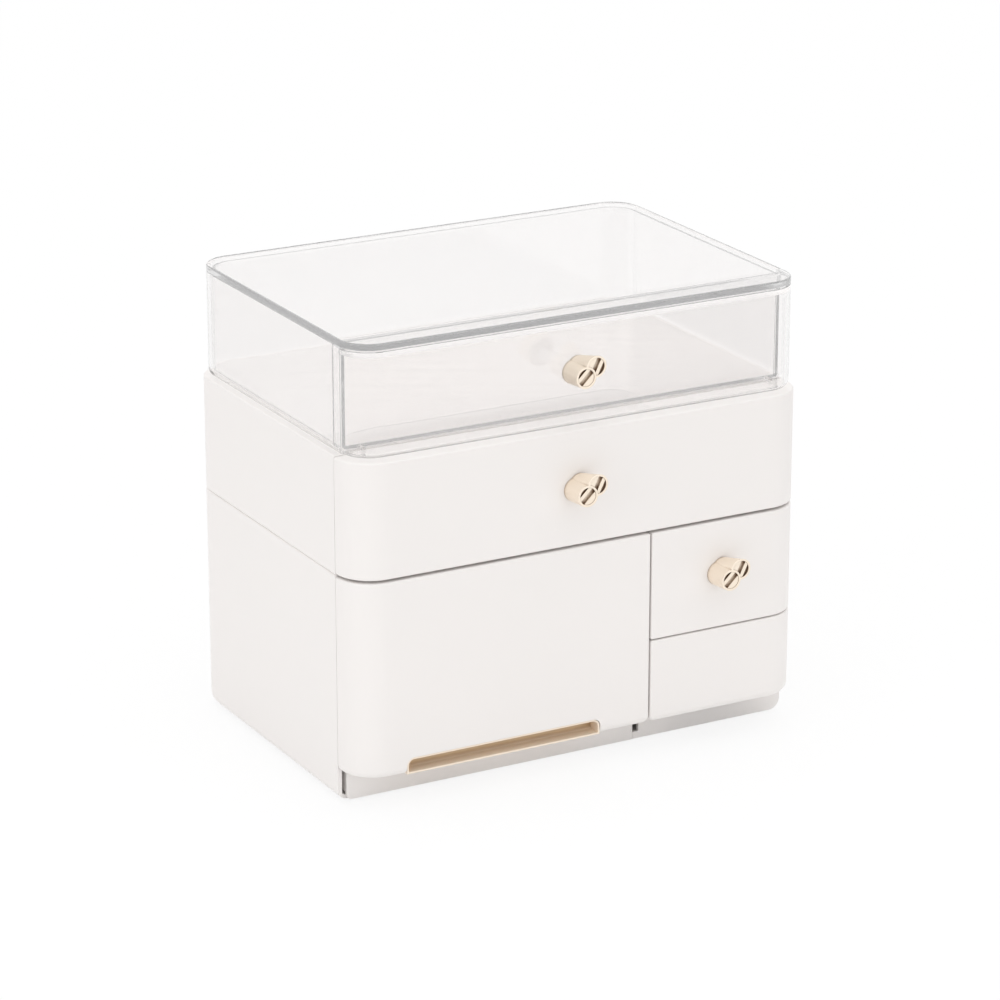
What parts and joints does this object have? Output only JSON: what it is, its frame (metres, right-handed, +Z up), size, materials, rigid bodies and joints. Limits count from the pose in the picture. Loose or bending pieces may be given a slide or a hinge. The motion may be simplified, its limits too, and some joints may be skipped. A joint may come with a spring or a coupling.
{
  "type": "drawer organizer",
  "caption": "Tiered desktop vanity organizer with round-cornered hollow drawer fronts, a clear top tier with a clear lid, gold knobs and a gold finger pull",
  "frame": {"origin": "on the table, under the middle of the whole footprint, knobs included", "axes": "+X to the right seen from the front, +Y to the back, +Z up; the drawers pull out towards -Y"},
  "size_m": [0.3, 0.228, 0.279],
  "materials": {
    "white_plastic": "smooth moulded white",
    "clear_plastic": "clear polished",
    "gold": "pale champagne gold plate",
    "steel": "zinc plated",
    "rubber": "matt pads"
  },
  "bodies": {
    "case": {"bottom_case": "white_plastic", "divider_wall": "white_plastic", "right_shelf": "white_plastic", "middle_case": "white_plastic", "clear_case": "clear_plastic", "clear_lid": "clear_plastic", "rubber_feet": "rubber"},
    "clear_drawer": {"clear_tray": "clear_plastic", "clear_front": "clear_plastic", "clear_knob": "gold", "clear_knob_screw": "steel"},
    "middle_drawer": {"middle_tray": "white_plastic", "middle_front": "white_plastic", "middle_front_screws": "steel", "middle_knob": "gold", "middle_knob_screw": "steel"},
    "big_drawer": {"big_tray": "white_plastic", "big_front": "white_plastic", "big_front_screws": "steel", "gold_pull": "gold"},
    "small_drawer": {"small_tray": "white_plastic", "small_front": "white_plastic", "small_front_screws": "steel", "small_knob": "gold", "small_knob_screw": "steel"},
    "lower_drawer": {"lower_tray": "white_plastic", "lower_front": "white_plastic", "lower_front_screws": "steel"}
  },
  "joints": [
    {"name": "clear_drawer_slide", "type": "slide", "parent": "case", "child": "clear_drawer", "axis": [0, -1, 0], "range_m": [0, 0.14]},
    {"name": "middle_drawer_slide", "type": "slide", "parent": "case", "child": "middle_drawer", "axis": [0, -1, 0], "range_m": [0, 0.14]},
    {"name": "big_drawer_slide", "type": "slide", "parent": "case", "child": "big_drawer", "axis": [0, -1, 0], "range_m": [0, 0.14]},
    {"name": "small_drawer_slide", "type": "slide", "parent": "case", "child": "small_drawer", "axis": [0, -1, 0], "range_m": [0, 0.14]},
    {"name": "lower_drawer_slide", "type": "slide", "parent": "case", "child": "lower_drawer", "axis": [0, -1, 0], "range_m": [0, 0.14]}
  ]
}
